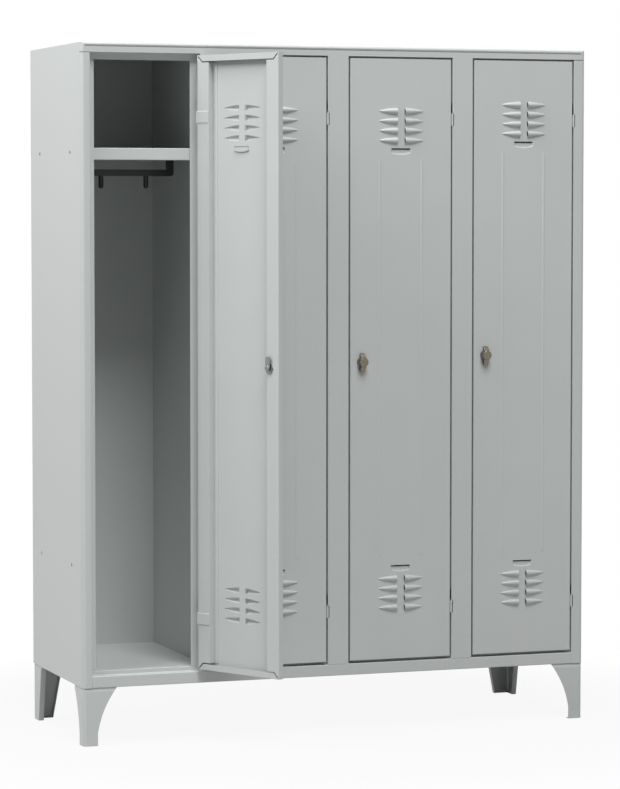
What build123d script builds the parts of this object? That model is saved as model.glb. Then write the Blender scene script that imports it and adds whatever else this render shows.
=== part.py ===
"""Sheet-steel locker cabinet with four hinged doors on four pressed corner feet.

Lengths are in millimetres. While it is built, X runs right from the left outside face, Y runs back from the
front face and Z runs up from the floor. Every piece is then moved so that the origin lies on the floor, under
the middle of the cabinet. Doors are built shut, and the first one is swung open on its own hinge pins.
"""
from build123d import *
import os

# Overall size
BAYS = 4
BAY_PITCH = 350.0
DEPTH = 500.0
HEIGHT = 1800.0
FOOT_HEIGHT = 150.0
SHEET = 1.0
BEND_RADIUS = 2.0

# Front frame: faces beside the doors, their returns and the stops that the doors shut against
LOCK_FACE = 25.0
HINGE_FACE = 33.0
RETURN_DEPTH = 20.0
LOCK_STOP = 15.0
HINGE_STOP = 21.0
CORNER_RADIUS = 10.0
ROOF_STRIP = 25.0
ROOF_SEAM = 1.5
ROOF_BEAD = 5.0
ROOF_GROOVE = 5.5
ROOF_STOP = 18.0
RAIL_HEIGHT = 30.0
RAIL_STEP = 12.0
REAR_FLANGE = 15.0
BOTTOM_FLANGE = 30.0
FLANGE_SETBACK = 32.0
DIVIDER_SETBACK = 10.0
DIVIDER_FLANGE = 15.0
SIDE_SEAM = 30.0

# Joining holes through the outer sides
JOIN_HOLE_RADIUS = 5.0
JOIN_FRONT = 105.0
JOIN_REAR = 95.0
JOIN_UP = 266.0
JOIN_DROP = 11.0

# Hat shelf and coat rail
HAT_SPACE = 267.0
SHELF_LIP = 31.0
SHELF_LIP_RETURN = 10.0
SHELF_FLANGE = 20.0
SHELF_SETBACK = 2.0
COAT_RAIL_BACK = 0.4 * DEPTH
COAT_BAR_HALF = 135.0
COAT_BAR_HEIGHT = 17.0
COAT_BAR_DEPTH = 14.0
COAT_BAR_DROP = 70.0
COAT_CORNER = 8.0
PEG_OFFSET = 61.0
PEG_RADIUS = 6.5
PEG_LENGTH = 33.0
SCREW_RADIUS = 2.0
SCREW_LENGTH = 18.0
SCREW_HEAD_RADIUS = 4.0
SCREW_HEAD = 2.2

# Pressed corner feet
FOOT_SHEET = 2.5
FOOT_INSET = 1.0
FOOT_TOP = 90.0
FOOT_WAIST = 53.0
FOOT_WAIST_UP = 86.0
FOOT_SOLE = 38.5
FOOT_STRAIGHT = 33.0
FOOT_BAND = 10.0
FOOT_BAND_DEPTH = 2.0
FOOT_PLATE = 75.0
SOLE_FLANGE = 12.0
REAR_FOOT_TOP = 78.0
REAR_FOOT_SOLE = 50.0
REAR_FOOT_LIP = 14.0
BOLT_RADIUS = 4.0
BOLT_CLEARANCE = 0.5
BOLT_HEAD_RADIUS = 7.0
BOLT_HEAD = 5.3
BOLT_LENGTH = 14.0
NUT_HEIGHT = 6.5
BOLT_NEAR = 17.0
BOLT_FAR = 58.0

# Doors
DOOR_GAP = 4.0
DOOR_TOP_GAP = 5.0
DOOR_BOTTOM_GAP = 8.0
DOOR_THICKNESS = 17.5
FREE_FLANGE = 41.0
EDGE_FLANGE = 40.0
TOP_FLANGE = 16.0
BOTTOM_FLANGE_DOOR = 15.0
MITRE_GAP = 3.0
STIFFENER_FOOT = 17.0
STIFFENER_END_GAP = 3.0
DOOR_1_ANGLE = 118.0

# Pressings in the door skin
VENT_LENGTH = 50.5
VENT_RADIUS = 8.2
VENT_TIP_RADIUS = 1.6
VENT_MIDDLE_RADIUS = 6.2
VENT_WALL = 0.8
VENT_STRIP = 21.0
VENT_ROWS = 4
VENT_PITCH = 25.6
VENT_EDGE = 136.5
TOP_VENT_RISE = (0.0, 0.0, 0.0, 20.0)
LABEL_WIDTH = 54.0
LABEL_DROP = 14.0
LABEL_BOW = 4.0
LABEL_DEPTH = 3.5
LABEL_TAPER = 40.0
LABEL_CORNER = 5.0
LABEL_SLIT = 3.0
LOW_LABEL = (False, True, True, True)
LABEL_BELOW = 23.6
LABEL_ABOVE = 32.0
RIB_OFFSET = 59.0
RIB_HALF_WIDTH = 3.5
RIB_HEIGHT = 1.0
RIB_LABEL_GAP = 28.0

# Lift-off hinges
PIVOT_OUT = 5.0
PIVOT_DEEP = 1.9
PIN_RADIUS = 1.1
PIN_CLEARANCE = 0.05
KNUCKLE_RADIUS = 1.9
STRAP_HEIGHT = 31.0
STRAP_LENGTH = 39.0
STRAP_SHEET = 1.5
STRAP_BEVEL = 1.2
STRAP_ARM_GAP = 1.2
TOP_HINGE_DOWN = 158.0
LOW_HINGE_UP = 131.5
EAR_SHEET = 2.8
EAR_GAP = 0.4
EAR_LENGTH = 18.0
EAR_DEPTH = 3.8
NOTCH_WIDTH = 4.2
NOTCH_DEPTH = 6.0
SLOT_HEIGHT = 26.0

# Turn latch
LOCK_IN = 32.0
LOCK_BELOW_MIDDLE = 3.0
LOCK_RISE = (0.0, 0.0, 0.0, 13.0)
BARREL_RADIUS = 7.5
BARREL_CLEARANCE = 0.1
SPINDLE_RADIUS = 4.0
SPINDLE_CLEARANCE = 0.05
ESCUTCHEON_RADIUS = 13.0
ESCUTCHEON = 2.0
NUT_RADIUS = 14.0
NUT_SHEET = 3.0
KNOB_GAP = 0.4
KNOB_RADIUS = 12.5
KNOB_HEIGHT = 13.0
KNOB_RISE = 4.0
GRIP_TIP = 4.0
LUG_WIDTH = 13.0
LUG_REACH = 23.5
TAIL_WIDTH = 14.0
TAIL_TIP_WIDTH = 9.0
TAIL_REACH = 27.5
TAIL_STRAIGHT = 19.0
EYE_RADIUS = 3.0
EYE_DOWN = 16.0
EYE_OUT = 4.5
CAM_BEHIND_STOP = 1.5
CAM_SHEET = 2.0
CAM_WIDTH = 15.0
CAM_REACH = 29.0
CAM_SCREW_RADIUS = 6.5
CAM_SCREW_HEAD = 3.0
CAM_THREAD_RADIUS = 2.5
CAM_THREAD_LENGTH = 8.0

# Sizes that follow
WIDTH = BAYS * BAY_PITCH
ROOF_LOW = HEIGHT - ROOF_STRIP
RAIL_TOP = FOOT_HEIGHT + RAIL_HEIGHT
FLOOR_TOP = RAIL_TOP + RAIL_STEP
STOP_LOW = FLOOR_TOP
STOP_HIGH = ROOF_LOW - ROOF_STOP
STOP_BACK = RETURN_DEPTH + SHEET
OPENING_RIGHT = BAY_PITCH - HINGE_FACE
BACK_FRONT = DEPTH - 2 * SHEET
DIVIDER_X = BAY_PITCH - DIVIDER_SETBACK
SHELF_TOP = HEIGHT - HAT_SPACE
SHELF_UNDER = SHELF_TOP - SHEET
JOIN_HEIGHTS = (FLOOR_TOP + JOIN_UP, SHELF_TOP - JOIN_DROP)
JOIN_DEPTHS = (JOIN_FRONT, DEPTH - JOIN_REAR)
DOOR_LEFT = LOCK_FACE + DOOR_GAP
DOOR_RIGHT = OPENING_RIGHT - DOOR_GAP
DOOR_MIDDLE = (DOOR_LEFT + DOOR_RIGHT) / 2
DOOR_LOW = RAIL_TOP + DOOR_BOTTOM_GAP
DOOR_HIGH = ROOF_LOW - DOOR_TOP_GAP
PIVOT_X = DOOR_RIGHT + PIVOT_OUT
HINGE_MIDDLES = (DOOR_LOW + LOW_HINGE_UP, DOOR_HIGH - TOP_HINGE_DOWN)
LOCK_X = DOOR_LEFT + LOCK_IN
LOCK_HEIGHT = (DOOR_LOW + DOOR_HIGH) / 2 - LOCK_BELOW_MIDDLE
CAM_FRONT = STOP_BACK + CAM_BEHIND_STOP
COAT_BAR_LOW = SHELF_TOP - COAT_BAR_DROP
MARGIN = 5.0


def block(x, y, z):
    """Box between two limits on each axis."""
    size = [high - low for low, high in (x, y, z)]
    middle = [(low + high) / 2 for low, high in (x, y, z)]
    return Pos(*middle) * Box(*size)


def folded(points, radii, length, plane=Plane.XY, side=Side.LEFT, thickness=SHEET):
    """Sheet bent along an open outline, as long as the press brake made it."""
    line = FilletPolyline(*points, radius=radii)
    outline = line.wire().offset_2d(thickness, side=side)
    return extrude(plane * Face(outline), amount=length, dir=plane.z_dir)


def rod(radius, start, direction, length):
    """Round bar from a start point along a direction."""
    return Plane(origin=start, z_dir=direction) * Cylinder(
        radius, length, align=(Align.CENTER, Align.CENTER, Align.MIN)
    )


def bay_left(bay):
    return bay * BAY_PITCH


def wall_left(bay):
    """Right face of the wall on a compartment's left."""
    return SHEET if bay == 0 else bay_left(bay) - DIVIDER_SETBACK + SHEET


def wall_right(bay):
    """Left face of the wall on a compartment's right."""
    return WIDTH - SHEET if bay == BAYS - 1 else bay_left(bay) + DIVIDER_X


def hinge_limits(middle):
    return middle - STRAP_HEIGHT / 2, middle + STRAP_HEIGHT / 2


def hinge_cuts(bay):
    """Notch for each knuckle and its ears, and the slot above that the door is lifted through."""
    edge = bay_left(bay) + OPENING_RIGHT
    cuts = []
    for middle in HINGE_MIDDLES:
        low, high = hinge_limits(middle)
        ears = EAR_SHEET + 2 * EAR_GAP
        notch = (low - ears, high + ears)
        cuts.append(block((edge - MARGIN, edge + NOTCH_WIDTH), (-MARGIN, NOTCH_DEPTH), notch))
        slot_low = high + ears
        slot_back = RETURN_DEPTH - BEND_RADIUS - SHEET
        slot = (slot_low, slot_low + SLOT_HEIGHT)
        cuts.append(block((edge - MARGIN, edge + BEND_RADIUS), (BEND_RADIUS, slot_back), slot))
    return cuts


def clear_stops(x):
    """Room for the roof's and floor's own stops at the ends of an upright's stops."""
    back = (RETURN_DEPTH - BEND_RADIUS, STOP_BACK + MARGIN)
    return [block(x, back, (0, STOP_LOW)), block(x, back, (STOP_HIGH, HEIGHT + MARGIN))]


def side_panel(stop_width, face_width):
    """Left side: rear flange, side, rounded front corner, face, return and stop in one sheet."""
    points = [
        (REAR_FLANGE, DEPTH),
        (0, DEPTH),
        (0, 0),
        (face_width, 0),
        (face_width, RETURN_DEPTH),
        (face_width + stop_width, RETURN_DEPTH),
    ]
    radii = [BEND_RADIUS, CORNER_RADIUS, BEND_RADIUS, BEND_RADIUS]
    panel = folded(points, radii, HEIGHT - FOOT_HEIGHT, Plane.XY.offset(FOOT_HEIGHT))
    panel -= clear_stops((face_width, face_width + stop_width + MARGIN))
    above_strip = (ROOF_LOW - ROOF_SEAM, HEIGHT + MARGIN)
    panel -= block((-MARGIN, SHEET), (-MARGIN, CORNER_RADIUS), above_strip)
    panel -= block((SHEET, face_width + stop_width), (-MARGIN, STOP_BACK + MARGIN), above_strip)
    under_roof = (HEIGHT - SHEET, HEIGHT + MARGIN)
    panel -= block((SHEET, REAR_FLANGE + MARGIN), (BACK_FRONT, DEPTH + MARGIN), under_roof)
    shelf = (SHEET, BOTTOM_FLANGE)
    panel += block(shelf, (FLANGE_SETBACK, DEPTH - FLANGE_SETBACK), (FOOT_HEIGHT, FOOT_HEIGHT + SHEET))
    for y in (FOOT_INSET + BOLT_FAR, DEPTH - FOOT_INSET - BOLT_FAR):
        start = (FOOT_INSET + BOLT_NEAR, y, FOOT_HEIGHT - MARGIN)
        panel -= rod(BOLT_RADIUS + BOLT_CLEARANCE, start, (0, 0, 1), 2 * MARGIN)
    for y in JOIN_DEPTHS:
        for z in JOIN_HEIGHTS:
            panel -= rod(JOIN_HOLE_RADIUS, (-MARGIN, y, z), (1, 0, 0), 2 * MARGIN)
    return panel


def across(piece):
    """The same piece on the other side of the cabinet."""
    return mirror(piece, about=Plane.YZ.offset(WIDTH / 2))


def front_to_back(piece):
    return mirror(piece, about=Plane.XZ.offset(-DEPTH / 2))


def post(bay):
    """Hat-section upright between two doors, with both doors' stops."""
    left = bay_left(bay) + OPENING_RIGHT
    right = bay_left(bay + 1) + LOCK_FACE
    points = [
        (left - HINGE_STOP, RETURN_DEPTH),
        (left, RETURN_DEPTH),
        (left, 0),
        (right, 0),
        (right, RETURN_DEPTH),
        (right + LOCK_STOP, RETURN_DEPTH),
    ]
    upright = folded(points, BEND_RADIUS, ROOF_LOW - RAIL_TOP, Plane.XY.offset(RAIL_TOP))
    upright -= clear_stops((left - HINGE_STOP - MARGIN, right + LOCK_STOP + MARGIN))
    return upright - hinge_cuts(bay)


def divider(bay):
    """Wall between two compartments, welded inside the post and to the back."""
    x = bay_left(bay) + DIVIDER_X
    points = [
        (x + DIVIDER_FLANGE, SHEET),
        (x, SHEET),
        (x, BACK_FRONT),
        (x + DIVIDER_FLANGE, BACK_FRONT),
    ]
    height = HEIGHT - SHEET - FLOOR_TOP
    wall = folded(points, BEND_RADIUS, height, Plane.XY.offset(FLOOR_TOP), Side.RIGHT)
    behind_stop = (0, STOP_BACK + SHEET)
    return wall - block((x - MARGIN, x + DIVIDER_FLANGE + MARGIN), behind_stop, (STOP_HIGH - SHEET, HEIGHT))


def roof_front(inset):
    """Filled front of the roof: rounded along its top edge and round its two corners."""
    depth = 2 * CORNER_RADIUS
    section = Pos(inset, HEIGHT - inset) * Rectangle(depth, ROOF_STRIP, align=(Align.MIN, Align.MAX))
    bar = extrude(Plane.YZ * section, amount=WIDTH, dir=(1, 0, 0))
    top_edges = bar.edges().filter_by(Axis.X).group_by(Axis.Z)[-1]
    bar = fillet(top_edges.sort_by(Axis.Y)[0], ROOF_BEAD - inset)
    plan = Pos(inset, inset) * Rectangle(WIDTH - 2 * inset, depth, align=(Align.MIN, Align.MIN))
    plan = fillet(plan.vertices().group_by(Axis.Y)[0], CORNER_RADIUS - inset)
    return bar & extrude(plan, amount=HEIGHT + MARGIN)


def roof_groove(wall, front):
    """Hollow along the roof's front under its bead, or that hollow with the sheet round it."""
    end = CORNER_RADIUS + SHEET - wall
    high = HEIGHT - ROOF_BEAD
    return block((end, WIDTH - end), (front, ROOF_BEAD + wall), (high - ROOF_GROOVE - wall, high))


def roof_bead():
    """Lower quarter of the bead rolled along the roof's front edge."""
    end = CORNER_RADIUS + SHEET
    axis = (end, ROOF_BEAD, HEIGHT - ROOF_BEAD)
    length = WIDTH - 2 * end
    roll = rod(ROOF_BEAD, axis, (1, 0, 0), length) - rod(ROOF_BEAD - SHEET, axis, (1, 0, 0), length)
    return roll & block((end, WIDTH - end), (0, ROOF_BEAD), (0, HEIGHT - ROOF_BEAD))


def roof_panel():
    """Roof with its beaded front strip, the return under it, the stop behind the doors and a rear flange."""
    strip = roof_front(0) & block((0, WIDTH), (0, CORNER_RADIUS), (ROOF_LOW, HEIGHT))
    strip -= roof_front(SHEET)
    strip += roof_groove(SHEET, 0)
    strip -= roof_groove(0, -MARGIN)
    strip += roof_bead()
    inner = (LOCK_FACE, WIDTH - HINGE_FACE)
    roof = strip + block((SHEET, WIDTH - SHEET), (CORNER_RADIUS, DEPTH), (HEIGHT - SHEET, HEIGHT))
    roof += block(inner, (0, STOP_BACK), (ROOF_LOW, ROOF_LOW + SHEET))
    roof += block(inner, (RETURN_DEPTH, STOP_BACK), (STOP_HIGH, ROOF_LOW + SHEET))
    rear = (REAR_FLANGE + SHEET, WIDTH - REAR_FLANGE - SHEET)
    return roof + block(rear, (DEPTH - SHEET, DEPTH), (ROOF_LOW, HEIGHT))


def floor_panel():
    """Compartment floor folded down to the doors' stop and the front rail."""
    points = [
        (FLANGE_SETBACK - SHEET, FOOT_HEIGHT),
        (0, FOOT_HEIGHT),
        (0, RAIL_TOP),
        (RETURN_DEPTH, RAIL_TOP),
        (RETURN_DEPTH, FLOOR_TOP),
        (2 * RETURN_DEPTH, FLOOR_TOP),
    ]
    length = WIDTH - LOCK_FACE - HINGE_FACE
    pan = folded(points, BEND_RADIUS, length, Plane.YZ.offset(LOCK_FACE), Side.RIGHT)
    across_cabinet = (SHEET, WIDTH - SHEET)
    pan += block(across_cabinet, (STOP_BACK + BEND_RADIUS, BACK_FRONT), (FLOOR_TOP - SHEET, FLOOR_TOP))
    pan += block(across_cabinet, (BACK_FRONT - SHEET, BACK_FRONT), (FOOT_HEIGHT, FLOOR_TOP))
    rear = (DEPTH - FLANGE_SETBACK, BACK_FRONT)
    pan += block(across_cabinet, rear, (FOOT_HEIGHT, FOOT_HEIGHT + SHEET))
    for x, y in foot_bolt_places(False):
        pan -= rod(BOLT_RADIUS + BOLT_CLEARANCE, (x, y, FOOT_HEIGHT - MARGIN), (0, 0, 1), 2 * MARGIN)
    return pan


def back_panel():
    x = (BEND_RADIUS, WIDTH - BEND_RADIUS)
    return block(x, (BACK_FRONT, DEPTH - SHEET), (FOOT_HEIGHT, HEIGHT - SHEET))


def coat_screw_places(bay):
    middle = (wall_left(bay) + wall_right(bay)) / 2
    arm = COAT_BAR_HALF - COAT_BAR_HEIGHT / 2
    return [(middle + side * arm, COAT_RAIL_BACK) for side in (-1, 1)]


def hat_shelf(bay):
    """Shelf with a lip across its front and a flange down each side."""
    left, right = wall_left(bay), wall_right(bay)
    front = STOP_BACK + SHELF_SETBACK
    rear = BACK_FRONT - 2 * SHEET
    lip_low = SHELF_TOP - SHELF_LIP
    points = [(front + SHELF_LIP_RETURN, lip_low), (front, lip_low), (front, SHELF_TOP), (rear, SHELF_TOP)]
    shelf = folded(points, BEND_RADIUS, right - left, Plane.YZ.offset(left), Side.RIGHT)
    flange = (SHELF_TOP - SHELF_FLANGE, SHELF_UNDER)
    for x in ((left, left + SHEET), (right - SHEET, right)):
        shelf += block(x, (front + BEND_RADIUS + SHEET, rear), flange)
    for y in JOIN_DEPTHS:
        start = (left - MARGIN, y, JOIN_HEIGHTS[1])
        shelf -= rod(JOIN_HOLE_RADIUS + SHEET / 2, start, (1, 0, 0), right - left + 2 * MARGIN)
    for x, y in coat_screw_places(bay):
        shelf -= rod(SCREW_RADIUS + PIN_CLEARANCE, (x, y, SHELF_TOP - MARGIN), (0, 0, 1), 2 * MARGIN)
    return shelf


def coat_rail(bay):
    """Moulded rail hung under the shelf by two arms, with two round-ended pegs."""
    middle = (wall_left(bay) + wall_right(bay)) / 2
    left, right = middle - COAT_BAR_HALF, middle + COAT_BAR_HALF
    front = COAT_RAIL_BACK - COAT_BAR_DEPTH / 2
    low = COAT_BAR_LOW
    frame = Polyline(
        (left, SHELF_UNDER),
        (left, low),
        (right, low),
        (right, SHELF_UNDER),
        (right - COAT_BAR_HEIGHT, SHELF_UNDER),
        (right - COAT_BAR_HEIGHT, low + COAT_BAR_HEIGHT),
        (left + COAT_BAR_HEIGHT, low + COAT_BAR_HEIGHT),
        (left + COAT_BAR_HEIGHT, SHELF_UNDER),
        close=True,
    )
    sketch = fillet(make_face(frame).vertices().group_by(Axis.Y)[0], COAT_CORNER)
    face = Plane.XZ.offset(-front) * sketch
    rail = extrude(face, amount=COAT_BAR_DEPTH, dir=(0, 1, 0))
    for side in (-1, 1):
        x = middle + side * PEG_OFFSET
        tip = low - PEG_LENGTH + PEG_RADIUS
        rail += rod(PEG_RADIUS, (x, COAT_RAIL_BACK, tip), (0, 0, 1), low + SHEET - tip)
        rail += Pos(x, COAT_RAIL_BACK, tip) * Sphere(PEG_RADIUS)
    for x, y in coat_screw_places(bay):
        rail -= rod(SCREW_RADIUS, (x, y, SHELF_TOP - SCREW_LENGTH), (0, 0, 1), SCREW_LENGTH)
    return rail


def coat_rail_screw(x, y):
    shank = rod(SCREW_RADIUS, (x, y, SHELF_TOP - SCREW_LENGTH), (0, 0, 1), SCREW_LENGTH)
    head = rod(SCREW_HEAD_RADIUS, (x, y, SHELF_TOP), (0, 0, 1), SCREW_HEAD)
    return shank + chamfer(head.edges().group_by(Axis.Z)[-1], SCREW_HEAD / 2)


def foot(top, sole, edge):
    """Front left foot: an angle of sheet cut to an edge, a top plate to bolt up and a flanged sole."""
    points = [(top, 0), (0, 0), (0, top)]
    angle = folded(points, CORNER_RADIUS - FOOT_INSET, FOOT_HEIGHT, side=Side.RIGHT, thickness=FOOT_SHEET)
    outer = top + MARGIN
    border = Polyline(edge @ 1, (outer, FOOT_HEIGHT), (outer, -MARGIN), (sole, -MARGIN), edge @ 0)
    waste = make_face([*border.edges(), *edge.edges()])
    front_plane = Plane(origin=(0, -MARGIN, 0), x_dir=(1, 0, 0), z_dir=(0, -1, 0))
    side_plane = Plane(origin=(-MARGIN, 0, 0), x_dir=(0, 1, 0), z_dir=(1, 0, 0))
    angle -= extrude(front_plane * waste, amount=3 * MARGIN, dir=(0, 1, 0))
    angle -= extrude(side_plane * waste, amount=3 * MARGIN, dir=(1, 0, 0))
    band_low = FOOT_HEIGHT - FOOT_BAND
    band = Polyline((0, band_low), (FOOT_BAND_DEPTH, FOOT_HEIGHT), (0, FOOT_HEIGHT), close=True)
    wedge = make_face(band)
    angle -= extrude(Plane.YZ * wedge, amount=top, dir=(1, 0, 0))
    angle -= extrude(Plane.XZ * wedge, amount=top, dir=(0, 1, 0))
    plate = (FOOT_SHEET, FOOT_PLATE)
    angle += block(plate, plate, (FOOT_HEIGHT - FOOT_SHEET, FOOT_HEIGHT))
    along, inwards, thick = (FOOT_SHEET, sole), (FOOT_SHEET, SOLE_FLANGE), (0, FOOT_SHEET)
    angle += [block(along, inwards, thick), block(inwards, along, thick)]
    for x, y in ((BOLT_FAR, BOLT_NEAR), (BOLT_NEAR, BOLT_FAR)):
        angle -= rod(BOLT_RADIUS + BOLT_CLEARANCE, (x, y, FOOT_HEIGHT - MARGIN), (0, 0, 1), 2 * MARGIN)
    return angle


def front_foot():
    """Foot at the front left, its faces cut to a curve."""
    ankle = (FOOT_SOLE, FOOT_STRAIGHT)
    curve = ThreePointArc(ankle, (FOOT_WAIST, FOOT_WAIST_UP), (FOOT_TOP, FOOT_HEIGHT))
    return Pos(FOOT_INSET, FOOT_INSET, 0) * foot(FOOT_TOP, FOOT_SOLE, curve)


def rear_foot():
    """Rear left foot turned to the front: faces cut to a straight taper, each with a lip folded inwards."""
    taper = Line((REAR_FOOT_SOLE, 0), (REAR_FOOT_TOP, FOOT_HEIGHT))
    angle = foot(REAR_FOOT_TOP, REAR_FOOT_SOLE, taper)
    inside = (REAR_FOOT_TOP - FOOT_SHEET, FOOT_HEIGHT), (REAR_FOOT_SOLE - FOOT_SHEET, 0)
    section = make_face(Polyline(taper @ 0, taper @ 1, *inside, close=True))
    wide = REAR_FOOT_LIP - FOOT_SHEET
    angle += extrude(Plane.YZ.offset(FOOT_SHEET) * section, amount=wide, dir=(1, 0, 0))
    angle += extrude(Plane.XZ.offset(-FOOT_SHEET) * section, amount=wide, dir=(0, 1, 0))
    return Pos(FOOT_INSET, FOOT_INSET, 0) * angle


def foot_bolt_places(through_sides):
    """Bolts into the side panels' bottom flanges, or into the floor's front and rear flanges."""
    x, y = (BOLT_NEAR, BOLT_FAR) if through_sides else (BOLT_FAR, BOLT_NEAR)
    x += FOOT_INSET
    y += FOOT_INSET
    return [(px, py) for px in (x, WIDTH - x) for py in (y, DEPTH - y)]


def foot_bolt(x, y):
    low = FOOT_HEIGHT - FOOT_SHEET
    shank = rod(BOLT_RADIUS, (x, y, low), (0, 0, 1), BOLT_LENGTH)
    return shank + extrude(Pos(x, y, low) * RegularPolygon(BOLT_HEAD_RADIUS, 6), amount=-BOLT_HEAD)


def foot_nut(x, y):
    hexagon = RegularPolygon(BOLT_HEAD_RADIUS, 6) - Circle(BOLT_RADIUS)
    return extrude(Pos(x, y, FOOT_HEIGHT + SHEET) * hexagon, amount=NUT_HEIGHT)


def vent_gill(mouth_x, side, row_z, wall):
    """Bullet-shaped gill lying along X, its open mouth towards the door's middle."""
    mouth = (0, VENT_RADIUS - wall)
    middle = (VENT_LENGTH / 2, VENT_MIDDLE_RADIUS - wall)
    tip = (VENT_LENGTH, VENT_TIP_RADIUS - wall)
    straight = Polyline(tip, (VENT_LENGTH, 0), (0, 0), mouth)
    outline = make_face([*straight.edges(), ThreePointArc(mouth, middle, tip)])
    gill = revolve(outline, Axis.X)
    if side < 0:
        gill = mirror(gill, about=Plane.YZ)
    return Pos(mouth_x, SHEET / 2, row_z) * gill


def vent_rows(bay):
    low = [DOOR_LOW + VENT_EDGE + row * VENT_PITCH for row in range(VENT_ROWS)]
    high = [DOOR_HIGH - VENT_EDGE + TOP_VENT_RISE[bay] - row * VENT_PITCH for row in range(VENT_ROWS)]
    return low, high


def label_slits(bay):
    """Heights of the lower edges of the two label slits."""
    low, high = vent_rows(bay)
    return low[-1] + LABEL_ABOVE, high[-1] - LABEL_BELOW


def label_bowl(slit_z, top_z):
    """Bowl pressed into the door below a label slit, its sill bowed down in the middle."""
    half = LABEL_WIDTH / 2
    sill = slit_z - LABEL_DROP
    ends = sill + LABEL_BOW
    above = slit_z + LABEL_DROP
    sides = Polyline((-half, ends), (-half, above), (half, above), (half, ends))
    outline = make_face([*sides.edges(), ThreePointArc((half, ends), (0, sill), (-half, ends))])
    outline = fillet(outline.vertices().group_by(Axis.Y)[0], LABEL_CORNER)
    plane = Plane(origin=(DOOR_MIDDLE, 0, 0), x_dir=(-1, 0, 0), z_dir=(0, 1, 0))
    bowl = extrude(plane * outline, amount=LABEL_DEPTH, taper=LABEL_TAPER)
    return bowl & block((DOOR_LEFT, DOOR_RIGHT), (0, DOOR_THICKNESS), (sill, top_z))


def door_frame():
    """Top and bottom edges of the door and the narrow flanges folded in from them."""
    inner = DOOR_THICKNESS - SHEET
    depth = (inner, DOOR_THICKNESS)
    x = (DOOR_LEFT, DOOR_RIGHT)
    frame = block(x, (0, DOOR_THICKNESS), (DOOR_HIGH - SHEET, DOOR_HIGH))
    frame += block(x, (0, DOOR_THICKNESS), (DOOR_LOW, DOOR_LOW + SHEET))
    frame += block(x, depth, (DOOR_HIGH - TOP_FLANGE, DOOR_HIGH))
    frame += block(x, depth, (DOOR_LOW, DOOR_LOW + BOTTOM_FLANGE_DOOR))
    return frame


def mitre_cuts():
    """Open mitres across the narrow flanges, carried on along them to the wide flanges' inner edges."""
    skew = MITRE_GAP / 2**0.5
    near = 2 * SHEET
    back = Plane.XZ.offset(-DOOR_THICKNESS - SHEET / 2)
    cuts = []
    for x, side, wide in ((DOOR_LEFT, 1, FREE_FLANGE), (DOOR_RIGHT, -1, EDGE_FLANGE)):
        for z, up, narrow in ((DOOR_HIGH, -1, TOP_FLANGE), (DOOR_LOW, 1, BOTTOM_FLANGE_DOOR)):
            far = narrow + MITRE_GAP
            outline = [(near + skew, near), (narrow + skew, narrow), (wide + SHEET, narrow)]
            outline += [(wide + SHEET, far), (far - skew, far), (near, near + skew)]
            points = [(x + side * a, z + up * b) for a, b in outline]
            gap = make_face(Polyline(*points, close=True))
            cuts.append(extrude(back * gap, amount=2 * SHEET, dir=(0, -1, 0)))
    return cuts


def door_panel(bay):
    """Pan-folded door with ribs, vents and label pockets pressed into its skin."""
    points = [
        (DOOR_LEFT + FREE_FLANGE, DOOR_THICKNESS),
        (DOOR_LEFT, DOOR_THICKNESS),
        (DOOR_LEFT, 0),
        (DOOR_RIGHT, 0),
        (DOOR_RIGHT, DOOR_THICKNESS),
        (DOOR_RIGHT - EDGE_FLANGE, DOOR_THICKNESS),
    ]
    door = folded(points, BEND_RADIUS, DOOR_HIGH - DOOR_LOW, Plane.XY.offset(DOOR_LOW))
    door += door_frame()
    door -= mitre_cuts()
    low_rows, high_rows = vent_rows(bay)
    mouths = [(DOOR_MIDDLE + side * VENT_STRIP / 2, side) for side in (-1, 1)]
    places = [(x, side, z) for x, side in mouths for z in low_rows + high_rows]
    outside = block((DOOR_LEFT, DOOR_RIGHT), (-2 * VENT_RADIUS, SHEET / 2), (DOOR_LOW, DOOR_HIGH))
    door += [vent_gill(*place, 0) & outside for place in places]
    low_slit, high_slit = label_slits(bay)
    slits = (low_slit, high_slit) if LOW_LABEL[bay] else (high_slit,)
    door += [Pos(0, SHEET, 0) * label_bowl(z, z) for z in slits]
    rib_low, rib_high = low_slit + RIB_LABEL_GAP, high_slit - RIB_LABEL_GAP
    rib_radius = (RIB_HALF_WIDTH**2 + RIB_HEIGHT**2) / (2 * RIB_HEIGHT)
    for side in (-1, 1):
        axis = (DOOR_MIDDLE + side * RIB_OFFSET, rib_radius - RIB_HEIGHT, rib_low)
        door += rod(rib_radius, axis, (0, 0, 1), rib_high - rib_low) & outside
    door -= [vent_gill(*place, VENT_WALL) for place in places]
    door -= [label_bowl(z, z + LABEL_SLIT) for z in slits]
    lock = (LOCK_X, -MARGIN, LOCK_HEIGHT + LOCK_RISE[bay])
    return door - rod(BARREL_RADIUS + BARREL_CLEARANCE, lock, (0, 1, 0), DOOR_THICKNESS + 2 * MARGIN)


def hinge_stiffener():
    """Angle behind the skin that closes the hinge side of the door into a box."""
    x = DOOR_RIGHT - EDGE_FLANGE
    low = DOOR_LOW + BOTTOM_FLANGE_DOOR + STIFFENER_END_GAP
    high = DOOR_HIGH - TOP_FLANGE - STIFFENER_END_GAP
    points = [(x - STIFFENER_FOOT, SHEET), (x, SHEET), (x, DOOR_THICKNESS)]
    return folded(points, BEND_RADIUS, high - low, Plane.XY.offset(low))


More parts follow.
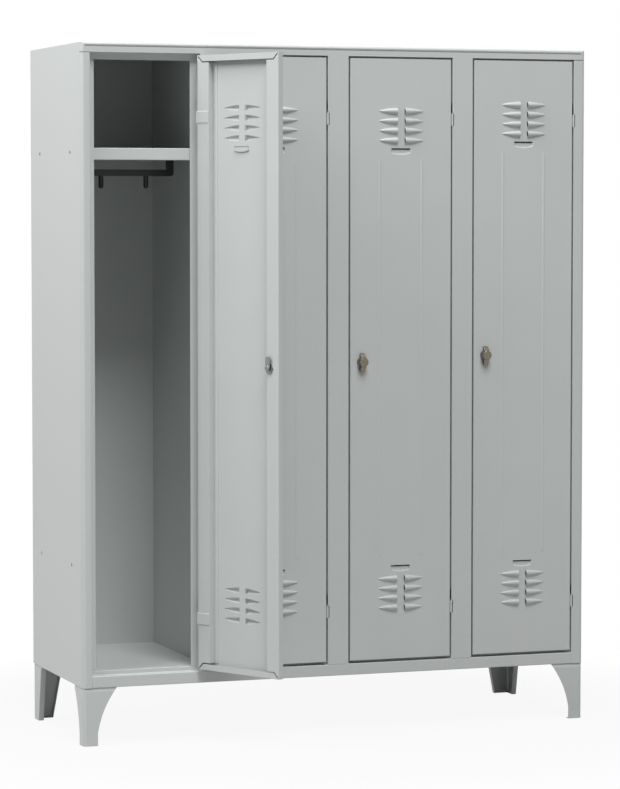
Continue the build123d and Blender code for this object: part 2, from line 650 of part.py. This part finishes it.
def hinge_strap(middle):
    """Bevelled strap on the door's hinge flange, with an arm through the gap to a knuckle round the pin."""
    low, high = hinge_limits(middle)
    z = (low, high)
    arm_left = DOOR_RIGHT + STRAP_ARM_GAP
    arm = (arm_left, arm_left + STRAP_SHEET)
    back = DOOR_THICKNESS + STRAP_SHEET
    plate = block((DOOR_RIGHT - STRAP_LENGTH, arm[1]), (DOOR_THICKNESS, back), z)
    strap = chamfer(plate.edges().filter_by(Axis.X).group_by(Axis.Y)[-1], STRAP_BEVEL)
    strap += block(arm, (PIVOT_DEEP - STRAP_SHEET / 2, back), z)
    web = (PIVOT_DEEP - STRAP_SHEET / 2, PIVOT_DEEP + STRAP_SHEET / 2)
    strap += block((arm_left, PIVOT_X), web, z)
    axis = (PIVOT_X, PIVOT_DEEP, low)
    strap += rod(KNUCKLE_RADIUS, axis, (0, 0, 1), STRAP_HEIGHT)
    return strap - rod(PIN_RADIUS + PIN_CLEARANCE, axis, (0, 0, 1), STRAP_HEIGHT)


def hinge_bracket(middle):
    """Two ears on a web welded behind the post's face, holding the pin above and below the knuckle."""
    low, high = hinge_limits(middle)
    ears = ((low - EAR_GAP - EAR_SHEET, low - EAR_GAP), (high + EAR_GAP, high + EAR_GAP + EAR_SHEET))
    notch_end = OPENING_RIGHT + NOTCH_WIDTH
    tip = (OPENING_RIGHT - EAR_GAP, notch_end)
    body = (notch_end, OPENING_RIGHT + EAR_LENGTH)
    whole = (ears[0][0], ears[1][1])
    bracket = block((body[0] + NOTCH_WIDTH, body[1]), (SHEET, SHEET + STRAP_SHEET), whole)
    for z in ears:
        bracket += block(tip, (EAR_GAP, SHEET + EAR_DEPTH), z)
        bracket += block(body, (SHEET, SHEET + EAR_DEPTH), z)
    return bracket - rod(PIN_RADIUS, (PIVOT_X, PIVOT_DEEP, whole[0]), (0, 0, 1), whole[1] - whole[0])


def hinge_pin(middle):
    low, high = hinge_limits(middle)
    reach = EAR_GAP + EAR_SHEET
    return rod(PIN_RADIUS, (PIVOT_X, PIVOT_DEEP, low - reach), (0, 0, 1), high - low + 2 * reach)


def lock_housing(z):
    """Escutcheon on the skin and threaded barrel through the door, bored for the spindle."""
    housing = rod(ESCUTCHEON_RADIUS, (LOCK_X, 0, z), (0, -1, 0), ESCUTCHEON)
    housing += rod(BARREL_RADIUS, (LOCK_X, 0, z), (0, 1, 0), DOOR_THICKNESS + NUT_SHEET)
    bore = DOOR_THICKNESS + NUT_SHEET + 2 * ESCUTCHEON
    return housing - rod(SPINDLE_RADIUS + SPINDLE_CLEARANCE, (LOCK_X, -ESCUTCHEON, z), (0, 1, 0), bore)


def lock_nut(z):
    plane = Plane(origin=(LOCK_X, DOOR_THICKNESS, z), x_dir=(1, 0, 0), z_dir=(0, 1, 0))
    return extrude(plane * (RegularPolygon(NUT_RADIUS, 6) - Circle(BARREL_RADIUS)), amount=NUT_SHEET)


def lock_knob(z):
    """Turn knob: a round body over a grip that slopes to a lug above and a tail with a padlock eye below."""
    base = -ESCUTCHEON - KNOB_GAP
    front = Plane(origin=(LOCK_X, base, z), x_dir=(1, 0, 0), z_dir=(0, -1, 0))
    body = extrude(front * Circle(KNOB_RADIUS), amount=KNOB_HEIGHT + KNOB_RISE)
    body = chamfer(body.edges().group_by(Axis.Y)[0], KNOB_RISE / 3)
    lug = Rectangle(LUG_WIDTH, LUG_REACH, align=(Align.CENTER, Align.MIN))
    lug = fillet(lug.vertices().group_by(Axis.Y)[-1], LUG_WIDTH / 4)
    half, tip = TAIL_WIDTH / 2, TAIL_TIP_WIDTH / 2
    left_edge = [(-half, 0), (-half, -TAIL_STRAIGHT), (-tip, -TAIL_REACH)]
    right_edge = [(-x, y) for x, y in reversed(left_edge)]
    tail = make_face(Polyline(*left_edge, *right_edge, close=True))
    tail = fillet(tail.vertices().group_by(Axis.Y)[0], TAIL_TIP_WIDTH / 4)
    grip = extrude(front * lug, amount=KNOB_HEIGHT) + extrude(front * tail, amount=KNOB_HEIGHT)
    slope = [(KNOB_HEIGHT, KNOB_RADIUS), (GRIP_TIP, LUG_REACH), (0, LUG_REACH)]
    slope += [(0, -TAIL_REACH), (GRIP_TIP, -TAIL_REACH), (KNOB_HEIGHT, -KNOB_RADIUS)]
    flank = Plane(origin=(LOCK_X + KNOB_RADIUS, base, z), x_dir=(0, -1, 0), z_dir=(-1, 0, 0))
    knob = body + (grip & extrude(flank * make_face(Polyline(*slope, close=True)), amount=2 * KNOB_RADIUS))
    eye = (LOCK_X - TAIL_WIDTH, base - EYE_OUT, z - EYE_DOWN)
    knob -= rod(EYE_RADIUS, eye, (1, 0, 0), 2 * TAIL_WIDTH)
    spindle_end = CAM_FRONT + CAM_SHEET
    knob += rod(SPINDLE_RADIUS, (LOCK_X, base, z), (0, 1, 0), spindle_end - base)
    thread = (LOCK_X, spindle_end - CAM_THREAD_LENGTH, z)
    return knob - rod(CAM_THREAD_RADIUS, thread, (0, 1, 0), CAM_THREAD_LENGTH)


def lock_cam(z):
    """Flat blade on the spindle that turns behind the stop."""
    plane = Plane(origin=(LOCK_X, CAM_FRONT, z), x_dir=(1, 0, 0), z_dir=(0, -1, 0))
    blade = Rectangle(CAM_WIDTH, CAM_REACH, align=(Align.CENTER, Align.MIN)) + Circle(CAM_WIDTH / 2)
    blade = fillet(blade.vertices().group_by(Axis.Y)[-1], CAM_WIDTH / 5)
    return extrude(plane * (blade - Circle(SPINDLE_RADIUS)), amount=-CAM_SHEET)


def cam_screw(z):
    start = CAM_FRONT + CAM_SHEET
    screw = rod(CAM_SCREW_RADIUS, (LOCK_X, start, z), (0, 1, 0), CAM_SCREW_HEAD)
    screw = chamfer(screw.edges().group_by(Axis.Y)[-1], CAM_SCREW_HEAD / 3)
    return screw + rod(CAM_THREAD_RADIUS, (LOCK_X, start, z), (0, -1, 0), CAM_THREAD_LENGTH)


def write(node, *pieces):
    """Move a node's pieces into the cabinet's own frame and write them."""
    placed = [Pos(-WIDTH / 2, -DEPTH / 2, 0) * piece for piece in pieces]
    solids = [solid for piece in placed for solid in piece.solids()]
    export_step(solids[0] if len(solids) == 1 else Compound(solids), f"parts/{node}.step")


def swung(bay, piece):
    """Carry a door's piece to its bay, and swing the first door open about its hinge pins."""
    placed = Pos(bay_left(bay), 0, 0) * piece
    if bay > 0:
        return placed
    return placed.rotate(Axis((PIVOT_X, PIVOT_DEEP, 0), (0, 0, 1)), DOOR_1_ANGLE)


def write_carcass():
    write("left_side_panel", side_panel(LOCK_STOP, LOCK_FACE))
    right = across(side_panel(HINGE_STOP, HINGE_FACE)) - hinge_cuts(BAYS - 1)
    before_seam = block((0, WIDTH + MARGIN), (-MARGIN, SIDE_SEAM), (0, HEIGHT + MARGIN))
    write("right_side_panel", right - before_seam)
    write("right_front_post", right & before_seam)
    for bay in range(BAYS - 1):
        write(f"post_{bay + 1}", post(bay))
        write(f"divider_{bay + 1}", divider(bay))
    write("roof_panel", roof_panel())
    write("floor_panel", floor_panel())
    write("back_panel", back_panel())
    pivots = [(bay, middle) for bay in range(BAYS) for middle in HINGE_MIDDLES]
    write("hinge_brackets", *[Pos(bay_left(bay), 0, 0) * hinge_bracket(middle) for bay, middle in pivots])
    write("hinge_pins", *[Pos(bay_left(bay), 0, 0) * hinge_pin(middle) for bay, middle in pivots])


def write_fittings():
    screws = []
    for bay in range(BAYS):
        write(f"hat_shelf_{bay + 1}", hat_shelf(bay))
        write(f"coat_rail_{bay + 1}", coat_rail(bay))
        screws += [coat_rail_screw(x, y) for x, y in coat_screw_places(bay)]
    write("coat_rail_screws", *screws)


def write_feet():
    front_left = front_foot()
    write("front_left_foot", front_left)
    write("front_right_foot", across(front_left))
    rear_left = front_to_back(rear_foot())
    write("rear_left_foot", rear_left)
    write("rear_right_foot", across(rear_left))
    places = foot_bolt_places(True) + foot_bolt_places(False)
    write("foot_fasteners", *[make(x, y) for make in (foot_bolt, foot_nut) for x, y in places])


def write_doors():
    for bay in range(BAYS):
        lock_z = LOCK_HEIGHT + LOCK_RISE[bay]
        pieces = {
            "door_panel": [door_panel(bay)],
            "hinge_stiffener": [hinge_stiffener()],
            "hinge_straps": [hinge_strap(middle) for middle in HINGE_MIDDLES],
            "lock_housing": [lock_housing(lock_z)],
            "lock_nut": [lock_nut(lock_z)],
            "lock_knob": [lock_knob(lock_z)],
            "lock_cam": [lock_cam(lock_z)],
            "cam_screw": [cam_screw(lock_z)],
        }
        for name, parts in pieces.items():
            write(f"{name}_{bay + 1}", *[swung(bay, piece) for piece in parts])


os.makedirs("parts", exist_ok=True)
write_carcass()
write_fittings()
write_feet()
write_doors()
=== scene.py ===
"""Looks of a sheet-steel locker cabinet: paint, plastic and plated metal on its pieces, and a studio."""
import bpy
import math
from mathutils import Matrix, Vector


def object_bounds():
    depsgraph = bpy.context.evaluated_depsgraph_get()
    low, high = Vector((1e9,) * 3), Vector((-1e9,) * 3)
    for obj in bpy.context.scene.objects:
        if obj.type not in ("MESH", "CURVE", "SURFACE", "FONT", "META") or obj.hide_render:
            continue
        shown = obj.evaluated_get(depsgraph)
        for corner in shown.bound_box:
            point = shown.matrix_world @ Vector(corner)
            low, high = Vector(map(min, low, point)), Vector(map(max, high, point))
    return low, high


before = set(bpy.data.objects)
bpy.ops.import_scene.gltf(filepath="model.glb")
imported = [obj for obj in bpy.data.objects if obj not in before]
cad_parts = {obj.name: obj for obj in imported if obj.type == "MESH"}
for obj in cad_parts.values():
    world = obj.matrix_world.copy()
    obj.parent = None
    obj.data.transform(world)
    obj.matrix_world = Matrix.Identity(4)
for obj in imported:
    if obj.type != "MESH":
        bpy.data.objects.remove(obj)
CAD_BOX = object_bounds()

bl_info = {
    "name": "Locker Cabinet Looks",
    "version": (1, 0, 0),
    "blender": (4, 5, 0),
    "location": "View3D > Sidebar > Locker",
    "description": "Finishes the pieces of a locker cabinet and sets a plain studio round it",
    "category": "Object",
}

MM = 0.001
DOORS = range(1, 5)


def linear(hex_colour):
    """sRGB hex colour as linear red, green and blue."""
    parts = [int(hex_colour[i:i + 2], 16) / 255 for i in (1, 3, 5)]
    return tuple(c / 12.92 if c <= 0.04045 else ((c + 0.055) / 1.055) ** 2.4 for c in parts)


def add(tree, kind, sockets=None, **settings):
    """Add a node, set its settings, and fill each socket with a value or a link."""
    node = tree.nodes.new(kind)
    for name, value in settings.items():
        setattr(node, name, value)
    for name, value in (sockets or {}).items():
        if isinstance(value, bpy.types.NodeSocket):
            tree.links.new(value, node.inputs[name])
        else:
            node.inputs[name].default_value = value
    return node


def new_material(name):
    """Empty node material and the tree of its shader."""
    material = bpy.data.materials.new(name)
    material.use_nodes = True
    material.node_tree.nodes.clear()
    return material, material.node_tree


def per_metre(millimetres):
    """Texture scale for a pattern whose features lie that far apart."""
    return 1 / (millimetres * MM)


def powder_coated_steel(look):
    """Powder coat on sheet steel, sprayed and baked: an even satin film with a faint orange peel. Folded
    edges are painted paler, a painted highlight along the bends."""
    material, tree = new_material("powder_coated_steel")
    place = add(tree, "ShaderNodeTexCoord").outputs["Object"]
    soft_edge = add(tree, "ShaderNodeBevel", {"Radius": look.edge_radius}, samples=6)
    surface = add(tree, "ShaderNodeNewGeometry")
    facing = add(tree, "ShaderNodeVectorMath",
                 {0: soft_edge.outputs["Normal"], 1: surface.outputs["Normal"]}, operation="DOT_PRODUCT")
    # Painted highlight: where the rounded edge normal turns away from the flat one, the paint is mixed toward
    # a paler colour.
    edge_highlight_mask = add(tree, "ShaderNodeMapRange", {
        "Value": facing.outputs["Value"], "From Min": 0.995, "From Max": 0.8, "To Min": 0.0, "To Max": 0.5})
    # Drifts in film thickness are about a hand's width across.
    drift = add(tree, "ShaderNodeTexNoise", {"Vector": place, "Scale": per_metre(140), "Detail": 3.0})
    film = add(tree, "ShaderNodeMix", {"Factor": drift.outputs["Fac"]}, data_type="RGBA")
    film.inputs[6].default_value = (*look.paint_thin, 1)
    film.inputs[7].default_value = (*look.paint, 1)
    edge_highlighted = add(tree, "ShaderNodeMix", {"Factor": edge_highlight_mask.outputs["Result"]}, data_type="RGBA")
    tree.links.new(film.outputs[2], edge_highlighted.inputs[6])
    edge_highlighted.inputs[7].default_value = (*look.paint_edge_highlight, 1)
    # Orange peel has waves of 1 to 2 mm. They are drawn at 4 mm so that they show at all.
    peel = add(tree, "ShaderNodeTexNoise", {"Vector": place, "Scale": per_metre(4), "Detail": 2.0})
    sheen = add(tree, "ShaderNodeMapRange", {
        "Value": drift.outputs["Fac"], "From Min": 0.3, "From Max": 0.7, "To Min": 0.28, "To Max": 0.33})
    ripple = add(tree, "ShaderNodeBump", {
        "Height": peel.outputs["Fac"], "Strength": 0.05, "Distance": 0.15 * MM,
        "Normal": soft_edge.outputs["Normal"]})
    shader = add(tree, "ShaderNodeBsdfPrincipled", {
        "Base Color": edge_highlighted.outputs[2], "Roughness": sheen.outputs["Result"], "IOR": 1.5,
        "Normal": ripple.outputs["Normal"]})
    add(tree, "ShaderNodeOutputMaterial", {"Surface": shader.outputs["BSDF"]})
    return material


def moulded_black_nylon(look):
    """Glass-filled nylon, moulded: near black, with the fine dull grain of a spark-eroded mould."""
    material, tree = new_material("moulded_black_nylon")
    place = add(tree, "ShaderNodeTexCoord").outputs["Object"]
    # Mould grain is about 0.3 mm. It is drawn at 1.2 mm so that it shows.
    grain = add(tree, "ShaderNodeTexNoise", {"Vector": place, "Scale": per_metre(1.2), "Detail": 4.0})
    tone = add(tree, "ShaderNodeMix", {"Factor": grain.outputs["Fac"]}, data_type="RGBA")
    tone.inputs[6].default_value = (*look.plastic, 1)
    tone.inputs[7].default_value = (*look.plastic_bloom, 1)
    dullness = add(tree, "ShaderNodeMapRange", {"Value": grain.outputs["Fac"], "To Min": 0.42, "To Max": 0.6})
    pits = add(tree, "ShaderNodeBump", {
        "Height": grain.outputs["Fac"], "Strength": 0.25, "Distance": 0.1 * MM})
    shader = add(tree, "ShaderNodeBsdfPrincipled", {
        "Base Color": tone.outputs[2], "Roughness": dullness.outputs["Result"], "IOR": 1.53,
        "Normal": pits.outputs["Normal"]})
    add(tree, "ShaderNodeOutputMaterial", {"Surface": shader.outputs["BSDF"]})
    return material


def nickel_on_die_cast_zinc(look):
    """Die-cast zinc, tumbled and nickel plated: a warm grey metal, coloured darker than bright nickel as
    painted shade for the dim surroundings it reflects, softly uneven from the casting."""
    material, tree = new_material("nickel_on_die_cast_zinc")
    place = add(tree, "ShaderNodeTexCoord").outputs["Object"]
    soft_edge = add(tree, "ShaderNodeBevel", {"Radius": 2 * look.edge_radius}, samples=6)
    # Casting ripples are a few millimetres long.
    cast = add(tree, "ShaderNodeTexNoise", {"Vector": place, "Scale": per_metre(5), "Detail": 3.0})
    tone = add(tree, "ShaderNodeMix", {"Factor": cast.outputs["Fac"]}, data_type="RGBA")
    tone.inputs[6].default_value = (*look.nickel_dull, 1)
    tone.inputs[7].default_value = (*look.nickel, 1)
    gloss = add(tree, "ShaderNodeMapRange", {"Value": cast.outputs["Fac"], "To Min": 0.18, "To Max": 0.34})
    ripple = add(tree, "ShaderNodeBump", {
        "Height": cast.outputs["Fac"], "Strength": 0.2, "Distance": 0.4 * MM,
        "Normal": soft_edge.outputs["Normal"]})
    shader = add(tree, "ShaderNodeBsdfPrincipled", {
        "Base Color": tone.outputs[2], "Metallic": 1.0, "Roughness": gloss.outputs["Result"],
        "Normal": ripple.outputs["Normal"]})
    add(tree, "ShaderNodeOutputMaterial", {"Surface": shader.outputs["BSDF"]})
    return material


def zinc_on_steel(look):
    """Barrel-plated steel, passivated: a cool grey metal with small spangles and a dull gloss."""
    material, tree = new_material("zinc_on_steel")
    place = add(tree, "ShaderNodeTexCoord").outputs["Object"]
    # Spangles from the plating barrel are about 2 mm across.
    spangle = add(tree, "ShaderNodeTexVoronoi", {"Vector": place, "Scale": per_metre(2)})
    tone = add(tree, "ShaderNodeMix", {"Factor": spangle.outputs["Distance"]}, data_type="RGBA")
    tone.inputs[6].default_value = (*look.zinc, 1)
    tone.inputs[7].default_value = (*look.zinc_dull, 1)
    gloss = add(tree, "ShaderNodeMapRange", {
        "Value": spangle.outputs["Distance"], "To Min": 0.3, "To Max": 0.45})
    shader = add(tree, "ShaderNodeBsdfPrincipled", {
        "Base Color": tone.outputs[2], "Metallic": 1.0, "Roughness": gloss.outputs["Result"]})
    add(tree, "ShaderNodeOutputMaterial", {"Surface": shader.outputs["BSDF"]})
    return material


FINISHES = {
    "powder_coated_steel": powder_coated_steel,
    "moulded_black_nylon": moulded_black_nylon,
    "nickel_on_die_cast_zinc": nickel_on_die_cast_zinc,
    "zinc_on_steel": zinc_on_steel,
}


def finish_nodes(scene, finish, names):
    """Give the named built pieces one finish, made the first time it is asked for."""
    material = bpy.data.materials.get(finish) or FINISHES[finish](scene.locker_look)
    for name in names:
        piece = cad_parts[name]
        piece.data.materials.clear()
        piece.data.materials.append(material)


def numbered(*names):
    """Names of the pieces that each door or its compartment has one of."""
    return [f"{name}_{door}" for name in names for door in DOORS]


class LockerLook(bpy.types.PropertyGroup):
    """Colours and edge softness of the cabinet's finishes."""

    paint: bpy.props.FloatVectorProperty(
        name="Paint", description="Powder coat where the film is full", subtype="COLOR",
        default=linear("#C6CAC9"))
    paint_thin: bpy.props.FloatVectorProperty(
        name="Thin paint", description="Powder coat where the film is thin", subtype="COLOR",
        default=linear("#C1C5C4"))
    # Paler colour painted along folded edges as a highlight.
    paint_edge_highlight: bpy.props.FloatVectorProperty(
        name="Painted edge highlight", description="Paler paint along folded edges, a painted highlight", subtype="COLOR",
        default=linear("#DADDDB"))
    plastic: bpy.props.FloatVectorProperty(
        name="Coat rail", description="Black moulded plastic", subtype="COLOR", default=linear("#0E0F10"))
    plastic_bloom: bpy.props.FloatVectorProperty(
        name="Coat rail grain", description="Paler grain in the plastic", subtype="COLOR",
        default=linear("#191B1C"))
    # Both nickel colours are set well darker than plated nickel: painted shade, standing in for dim
    # surroundings seen in the reflection. The mix between them follows the casting ripples.
    nickel: bpy.props.FloatVectorProperty(
        name="Nickel", description="Bright nickel plating", subtype="COLOR", default=linear("#857F72"))
    nickel_dull: bpy.props.FloatVectorProperty(
        name="Dull nickel", description="Nickel plating in casting hollows", subtype="COLOR",
        default=linear("#655F55"))
    # Both zinc colours are set darker than plated zinc: painted shade, standing in for dim surroundings seen
    # in the reflection. The spangle pattern between them is the plating's own.
    zinc: bpy.props.FloatVectorProperty(
        name="Zinc", description="Bright zinc plating", subtype="COLOR", default=linear("#9EA4A2"))
    zinc_dull: bpy.props.FloatVectorProperty(
        name="Dull zinc", description="Zinc plating between spangles", subtype="COLOR",
        default=linear("#7E8482"))
    edge_radius: bpy.props.FloatProperty(
        name="Edge radius", description="How round a cut or folded edge looks", unit="LENGTH",
        default=0.6 * MM)


class LockerStudio(bpy.types.PropertyGroup):
    """Camera, lamps and floor round the cabinet."""

    camera_place: bpy.props.FloatVectorProperty(
        name="Camera", description="Where the camera stands", subtype="TRANSLATION", unit="LENGTH",
        default=(-2.888, -8.097, 1.381))
    camera_turn: bpy.props.FloatProperty(
        name="Turn", description="How far the camera looks to the right of straight ahead", subtype="ANGLE",
        default=math.radians(19.67))
    camera_tilt: bpy.props.FloatProperty(
        name="Tilt", description="How far the camera looks up", subtype="ANGLE", default=math.radians(-3.35))
    focal_length: bpy.props.FloatProperty(
        name="Focal length", description="Focal length for a 36 mm long side", unit="CAMERA", default=145.8)
    front_place: bpy.props.FloatVectorProperty(
        name="Front lamp", description="Where the large lamp hangs, high in front", subtype="TRANSLATION",
        unit="LENGTH", default=(-0.4, -6.0, 10.8))
    front_size: bpy.props.FloatProperty(
        name="Front size", description="Side of the front lamp", unit="LENGTH", default=4.5)
    front_power: bpy.props.FloatProperty(
        name="Front power", description="Power of the front lamp", unit="POWER", default=1050.0)
    side_place: bpy.props.FloatVectorProperty(
        name="Side lamp", description="Where the smaller lamp hangs, high on the left", subtype="TRANSLATION",
        unit="LENGTH", default=(-3.3, -0.6, 4.4))
    side_size: bpy.props.FloatProperty(
        name="Side size", description="Side of the side lamp", unit="LENGTH", default=2.0)
    side_power: bpy.props.FloatProperty(
        name="Side power", description="Power of the side lamp", unit="POWER", default=155.0)
    sky: bpy.props.FloatProperty(
        name="Room light", description="Light from the white room on every side", default=0.15)
    floor_radius: bpy.props.FloatProperty(
        name="Floor radius", description="Radius of the round floor", unit="LENGTH", default=14.0)
    floor_tone: bpy.props.FloatVectorProperty(
        name="Floor", description="Pale grey that the floor throws back", subtype="COLOR",
        default=linear("#B0B0B0"))
    shadow_share: bpy.props.FloatProperty(
        name="Shadow share", description="How strongly the floor shows the cabinet's shadow",
        subtype="FACTOR", default=0.08)
    shadow_near: bpy.props.FloatProperty(
        name="Shadow fades from", description="Distance from the middle where the shadow starts to fade",
        unit="LENGTH", default=0.8)
    shadow_far: bpy.props.FloatProperty(
        name="Shadow fades to", description="Distance from the middle where the floor is plain white",
        unit="LENGTH", default=1.6)


class LOCKER_OT_paint_carcass(bpy.types.Operator):
    """Paint the sides, posts, walls, roof, floor, back, shelves and feet"""

    bl_idname = "locker.paint_carcass"
    bl_label = "Paint Carcass"

    def execute(self, context):
        sheets = ["left_side_panel", "right_side_panel", "right_front_post"]
        sheets += ["roof_panel", "floor_panel", "back_panel"]
        sheets += [f"{name}_{gap}" for name in ("post", "divider") for gap in range(1, len(DOORS))]
        sheets += numbered("hat_shelf")
        sheets += [f"{end}_{side}_foot" for end in ("front", "rear") for side in ("left", "right")]
        finish_nodes(context.scene, "powder_coated_steel", sheets)
        return {"FINISHED"}


class LOCKER_OT_paint_doors(bpy.types.Operator):
    """Paint the doors with their stiffeners, hinge straps and brackets"""

    bl_idname = "locker.paint_doors"
    bl_label = "Paint Doors"

    def execute(self, context):
        pieces = numbered("door_panel", "hinge_stiffener", "hinge_straps") + ["hinge_brackets"]
        finish_nodes(context.scene, "powder_coated_steel", pieces)
        return {"FINISHED"}


class LOCKER_OT_finish_coat_rails(bpy.types.Operator):
    """Give the coat rails their black moulded plastic"""

    bl_idname = "locker.finish_coat_rails"
    bl_label = "Finish Coat Rails"

    def execute(self, context):
        finish_nodes(context.scene, "moulded_black_nylon", numbered("coat_rail"))
        return {"FINISHED"}


class LOCKER_OT_finish_locks(bpy.types.Operator):
    """Plate the turn latches"""

    bl_idname = "locker.finish_locks"
    bl_label = "Finish Locks"

    def execute(self, context):
        finish_nodes(context.scene, "nickel_on_die_cast_zinc", numbered("lock_housing", "lock_knob"))
        finish_nodes(context.scene, "zinc_on_steel", numbered("lock_nut", "lock_cam", "cam_screw"))
        return {"FINISHED"}


class LOCKER_OT_finish_fasteners(bpy.types.Operator):
    """Plate the bolts, nuts, screws and hinge pins"""

    bl_idname = "locker.finish_fasteners"
    bl_label = "Finish Fasteners"

    def execute(self, context):
        fasteners = ["foot_fasteners", "coat_rail_screws", "hinge_pins"]
        finish_nodes(context.scene, "zinc_on_steel", fasteners)
        return {"FINISHED"}


class LOCKER_OT_set_studio(bpy.types.Operator):
    """Set the white room, the floor, the lamps and the camera"""

    bl_idname = "locker.set_studio"
    bl_label = "Set Studio"

    def execute(self, context):
        scene = context.scene
        studio = scene.locker_studio
        scene.view_settings.view_transform = "Standard"
        white_room(scene, studio)
        pale_floor(scene, studio)
        centre = (CAD_BOX[0] + CAD_BOX[1]) / 2
        lamp(scene, "front_lamp", studio.front_place, centre, studio.front_size, studio.front_power)
        lamp(scene, "side_lamp", studio.side_place, centre, studio.side_size, studio.side_power)
        camera(scene, studio)
        return {"FINISHED"}


def seen_directly(tree):
    """1 where the camera, a reflection or something clear looks on, 0 where light only bounces off."""
    path = add(tree, "ShaderNodeLightPath")
    mirrored = add(tree, "ShaderNodeMath", {
        0: path.outputs["Is Camera Ray"], 1: path.outputs["Is Glossy Ray"]}, operation="MAXIMUM")
    return add(tree, "ShaderNodeMath", {
        0: mirrored.outputs[0], 1: path.outputs["Is Transmission Ray"]}, operation="MAXIMUM").outputs[0]


def white_room(scene, studio):
    """World that looks white and lights the cabinet softly from all sides."""
    world = bpy.data.worlds.new("white_room")
    world.use_nodes = True
    tree = world.node_tree
    tree.nodes.clear()
    strength = add(tree, "ShaderNodeMapRange", {
        "Value": seen_directly(tree), "To Min": studio.sky, "To Max": 1.0})
    light = add(tree, "ShaderNodeBackground", {
        "Color": (1, 1, 1, 1), "Strength": strength.outputs["Result"]})
    add(tree, "ShaderNodeOutputWorld", {"Surface": light.outputs["Background"]})
    scene.world = world


def pale_floor(scene, studio):
    """Round white floor that keeps a faint shadow near the cabinet and fades into the white room."""
    corners = 96
    ring = [2 * math.pi * i / corners for i in range(corners)]
    mesh = bpy.data.meshes.new("studio_floor")
    radius = studio.floor_radius
    mesh.from_pydata([(radius * math.cos(a), radius * math.sin(a), 0) for a in ring], [], [range(corners)])
    floor = bpy.data.objects.new("studio_floor", mesh)
    scene.collection.objects.link(floor)
    material, tree = new_material("white_studio_floor")
    place = add(tree, "ShaderNodeTexCoord").outputs["Object"]
    distance = add(tree, "ShaderNodeVectorMath", {0: place}, operation="LENGTH")
    nearness = add(tree, "ShaderNodeMapRange", {
        "Value": distance.outputs["Value"], "From Min": studio.shadow_near, "From Max": studio.shadow_far,
        "To Min": studio.shadow_share, "To Max": 0.0}, interpolation_type="SMOOTHSTEP")
    glow = add(tree, "ShaderNodeEmission", {"Color": (1, 1, 1, 1), "Strength": 1.0})
    matte = add(tree, "ShaderNodeBsdfDiffuse", {"Color": (*studio.floor_tone, 1)})
    looked_at = add(tree, "ShaderNodeMixShader", {
        0: nearness.outputs["Result"], 1: glow.outputs[0], 2: matte.outputs[0]})
    both = add(tree, "ShaderNodeMixShader", {
        0: seen_directly(tree), 1: matte.outputs[0], 2: looked_at.outputs[0]})
    add(tree, "ShaderNodeOutputMaterial", {"Surface": both.outputs[0]})
    mesh.materials.append(material)


def lamp(scene, name, place, target, size, power):
    """Square soft lamp that faces the target."""
    data = bpy.data.lights.new(name, "AREA")
    data.size = size
    data.energy = power
    source = bpy.data.objects.new(name, data)
    source.location = place
    source.rotation_mode = "QUATERNION"
    source.rotation_quaternion = (target - source.location).to_track_quat("-Z", "Y")
    source.visible_camera = False
    scene.collection.objects.link(source)


def camera(scene, studio):
    """Camera at the height and angle of the picture."""
    data = bpy.data.cameras.new("camera")
    data.lens = studio.focal_length
    data.sensor_width = 36
    data.clip_end = 100
    view = bpy.data.objects.new("camera", data)
    turn, tilt = studio.camera_turn, studio.camera_tilt
    ahead = Vector((math.sin(turn) * math.cos(tilt), math.cos(turn) * math.cos(tilt), math.sin(tilt)))
    view.location = studio.camera_place
    view.rotation_mode = "QUATERNION"
    view.rotation_quaternion = ahead.to_track_quat("-Z", "Y")
    scene.collection.objects.link(view)
    scene.camera = view


class LOCKER_PT_looks(bpy.types.Panel):
    """Lists the finishing steps and their settings."""

    bl_label = "Locker Cabinet"
    bl_idname = "LOCKER_PT_looks"
    bl_space_type = "VIEW_3D"
    bl_region_type = "UI"
    bl_category = "Locker"

    def draw(self, context):
        for operator in OPERATORS:
            self.layout.operator(operator.bl_idname)
        for group in (context.scene.locker_look, context.scene.locker_studio):
            box = self.layout.box()
            for name in group.bl_rna.properties.keys():
                if name not in ("rna_type", "name"):
                    box.prop(group, name)


OPERATORS = (
    LOCKER_OT_paint_carcass,
    LOCKER_OT_paint_doors,
    LOCKER_OT_finish_coat_rails,
    LOCKER_OT_finish_locks,
    LOCKER_OT_finish_fasteners,
    LOCKER_OT_set_studio,
)
CLASSES = (LockerLook, LockerStudio, *OPERATORS, LOCKER_PT_looks)


def register():
    for cls in CLASSES:
        bpy.utils.register_class(cls)
    bpy.types.Scene.locker_look = bpy.props.PointerProperty(type=LockerLook)
    bpy.types.Scene.locker_studio = bpy.props.PointerProperty(type=LockerStudio)


def unregister():
    del bpy.types.Scene.locker_studio
    del bpy.types.Scene.locker_look
    for cls in reversed(CLASSES):
        bpy.utils.unregister_class(cls)


def main():
    register()
    bpy.ops.locker.paint_carcass()
    bpy.ops.locker.paint_doors()
    bpy.ops.locker.finish_coat_rails()
    bpy.ops.locker.finish_locks()
    bpy.ops.locker.finish_fasteners()
    bpy.ops.locker.set_studio()


if __name__ == "__main__":
    main()
